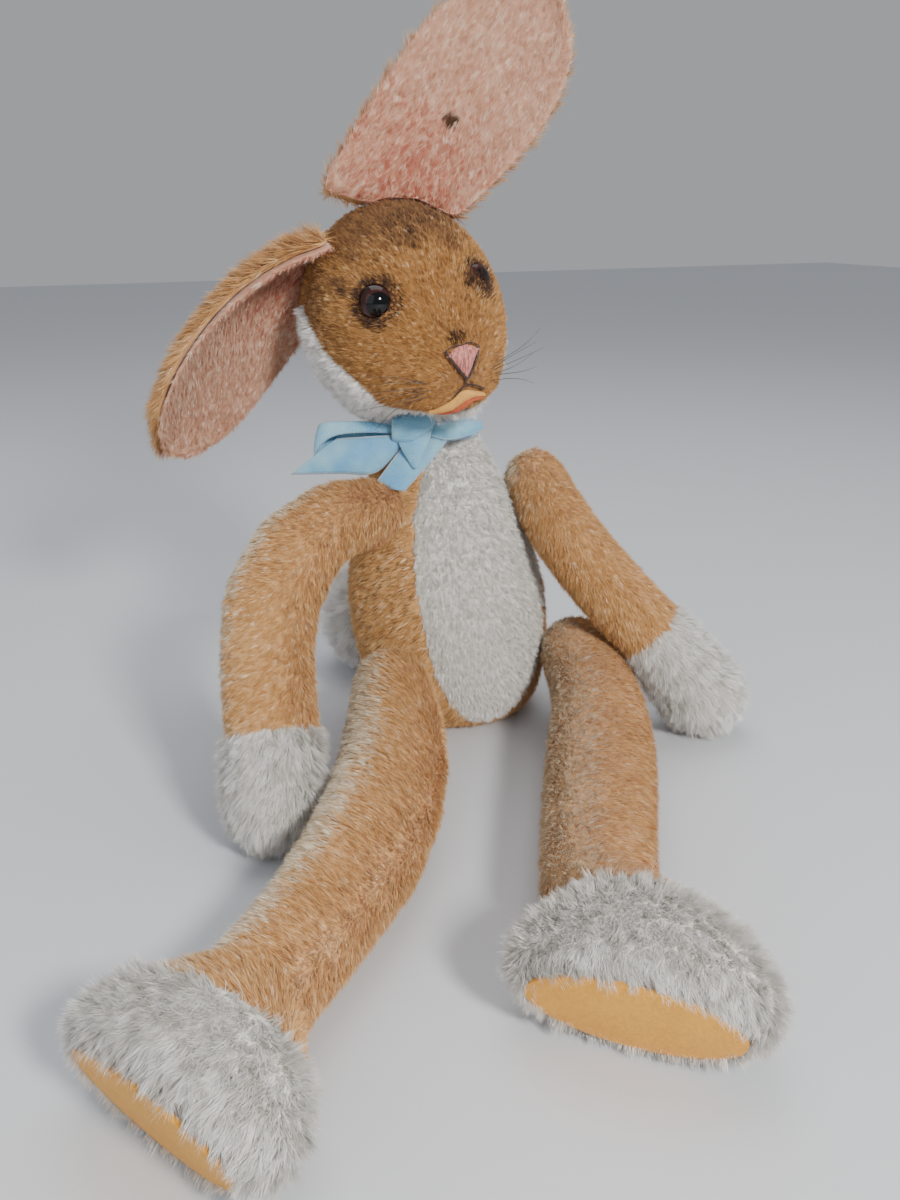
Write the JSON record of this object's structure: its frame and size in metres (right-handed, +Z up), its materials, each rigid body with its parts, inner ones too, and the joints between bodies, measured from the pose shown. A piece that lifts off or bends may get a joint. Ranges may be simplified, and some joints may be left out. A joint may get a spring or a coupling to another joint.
{
  "type": "stuffed toy rabbit",
  "caption": "Seated long-limbed mohair toy rabbit with cord-jointed arms and legs, a turning head, felt soles, glass eyes, cloth ears and a ribbon bow.",
  "frame": {"origin": "middle of the flat seat, on the surface the rabbit sits on", "axes": "+Z up, the rabbit faces -Y, its left is +X"},
  "size_m": [0.3144, 0.3535, 0.3203],
  "materials": {
    "tan_mohair": "short curly pile",
    "white_mohair": "short fluffy pile",
    "ear_mohair": "short pile",
    "sole_felt": "matt wool felt",
    "lip_felt": "matt felt",
    "mouth_felt": "matt felt",
    "nose_silk": "satin stitch",
    "glass_eye": "polished",
    "ribbon": "satin with a ribbed edge",
    "stuffing": "wood wool and kapok",
    "card": "pressed fibre",
    "linen_cord": "twisted",
    "steel": "drawn wire and pressed sheet",
    "bristle": "stiff thread"
  },
  "bodies": {
    "torso": {"torso_skin": "tan_mohair", "belly_panel": "white_mohair", "torso_stuffing": "stuffing", "tail_skin": "white_mohair", "tail_stuffing": "stuffing", "neck_body_disc": "card", "neck_body_washer": "steel", "neck_cotter_pin": "steel", "left_shoulder_body_disc": "card", "left_hip_body_disc": "card", "right_shoulder_body_disc": "card", "right_hip_body_disc": "card", "ribbon_band": "ribbon", "bow_knot": "ribbon", "bow_right_loop": "ribbon", "bow_left_loop": "ribbon", "bow_long_tail": "ribbon", "bow_short_tail": "ribbon"},
    "head": {"head_skin": "tan_mohair", "chin_gusset": "white_mohair", "head_stuffing": "stuffing", "left_eye": "glass_eye", "right_eye": "glass_eye", "left_eye_shank": "steel", "right_eye_shank": "steel", "nose_stitching": "nose_silk", "mouth_lining": "lip_felt", "lower_lip": "mouth_felt", "left_whiskers": "bristle", "right_whiskers": "bristle", "neck_head_disc": "card", "neck_head_washer": "steel"},
    "left_ear": {"left_ear_back": "tan_mohair", "left_ear_lining": "ear_mohair"},
    "right_ear": {"right_ear_back": "tan_mohair", "right_ear_lining": "ear_mohair"},
    "right_shoulder_cord_body": {"right_shoulder_cord": "linen_cord"},
    "right_arm": {"right_arm_skin": "tan_mohair", "right_paw_skin": "white_mohair", "right_arm_stuffing": "stuffing", "right_shoulder_limb_disc": "card"},
    "left_shoulder_cord_body": {"left_shoulder_cord": "linen_cord"},
    "left_arm": {"left_arm_skin": "tan_mohair", "left_paw_skin": "white_mohair", "left_arm_stuffing": "stuffing", "left_shoulder_limb_disc": "card"},
    "right_hip_cord_body": {"right_hip_cord": "linen_cord"},
    "right_leg": {"right_leg_skin": "tan_mohair", "right_foot_skin": "white_mohair", "right_leg_stuffing": "stuffing", "right_hip_limb_disc": "card", "right_foot_sole": "sole_felt"},
    "left_hip_cord_body": {"left_hip_cord": "linen_cord"},
    "left_leg": {"left_leg_skin": "tan_mohair", "left_foot_skin": "white_mohair", "left_leg_stuffing": "stuffing", "left_hip_limb_disc": "card", "left_foot_sole": "sole_felt"}
  },
  "joints": [
    {"name": "head_turn", "type": "hinge", "parent": "torso", "child": "head", "pos_m": [-0.014, 0.005, 0.1465], "axis": [0, 0, 1], "range_deg": [-80, 80], "deforming": ["bow_right_loop", "bow_left_loop", "bow_long_tail", "bow_short_tail"]},
    {"name": "left_ear_fold", "type": "hinge", "parent": "head", "child": "left_ear", "pos_m": [-0.03366, -0.00287, 0.23248], "axis": [0.7106, -0.3395, -0.6163], "range_deg": [-10, 20], "stiffness_Nm_per_rad": 0.03},
    {"name": "right_ear_fold", "type": "hinge", "parent": "head", "child": "right_ear", "pos_m": [-0.06209, 0.00483, 0.21454], "axis": [-0.7729, -0.5841, 0.2478], "range_deg": [-25, 4], "stiffness_Nm_per_rad": 0.03},
    {"name": "right_shoulder_turn", "type": "hinge", "parent": "torso", "child": "right_shoulder_cord_body", "pos_m": [-0.0518, -0.0219, 0.11], "axis": [-0.8449, -0.5349, 0], "range_deg": [-90, 0], "deforming": ["bow_right_loop", "bow_long_tail", "bow_short_tail"]},
    {"name": "right_shoulder_tilt", "type": "hinge", "parent": "right_shoulder_cord_body", "child": "right_arm", "pos_m": [-0.0518, -0.0219, 0.11], "axis": [0, 0, 1], "range_deg": [-40, 0]},
    {"name": "left_shoulder_turn", "type": "hinge", "parent": "torso", "child": "left_shoulder_cord_body", "pos_m": [0.0325, -0.0115, 0.113], "axis": [0.9368, -0.3499, 0], "range_deg": [-50, 0], "deforming": ["bow_left_loop"]},
    {"name": "left_shoulder_tilt", "type": "hinge", "parent": "left_shoulder_cord_body", "child": "left_arm", "pos_m": [0.0325, -0.0115, 0.113], "axis": [0, 0, 1], "range_deg": [0, 40]},
    {"name": "right_hip_turn", "type": "hinge", "parent": "torso", "child": "right_hip_cord_body", "pos_m": [-0.0502, -0.0368, 0.035], "axis": [-0.775, -0.632, 0], "range_deg": [-5, 60]},
    {"name": "right_hip_tilt", "type": "hinge", "parent": "right_hip_cord_body", "child": "right_leg", "pos_m": [-0.0502, -0.0368, 0.035], "axis": [0, 0, 1], "range_deg": [0, 15]},
    {"name": "left_hip_turn", "type": "hinge", "parent": "torso", "child": "left_hip_cord_body", "pos_m": [0.0425, -0.037, 0.035], "axis": [0.775, -0.632, 0], "range_deg": [-6, 60]},
    {"name": "left_hip_tilt", "type": "hinge", "parent": "left_hip_cord_body", "child": "left_leg", "pos_m": [0.0425, -0.037, 0.035], "axis": [0, 0, 1], "range_deg": [-10, 3]}
  ]
}
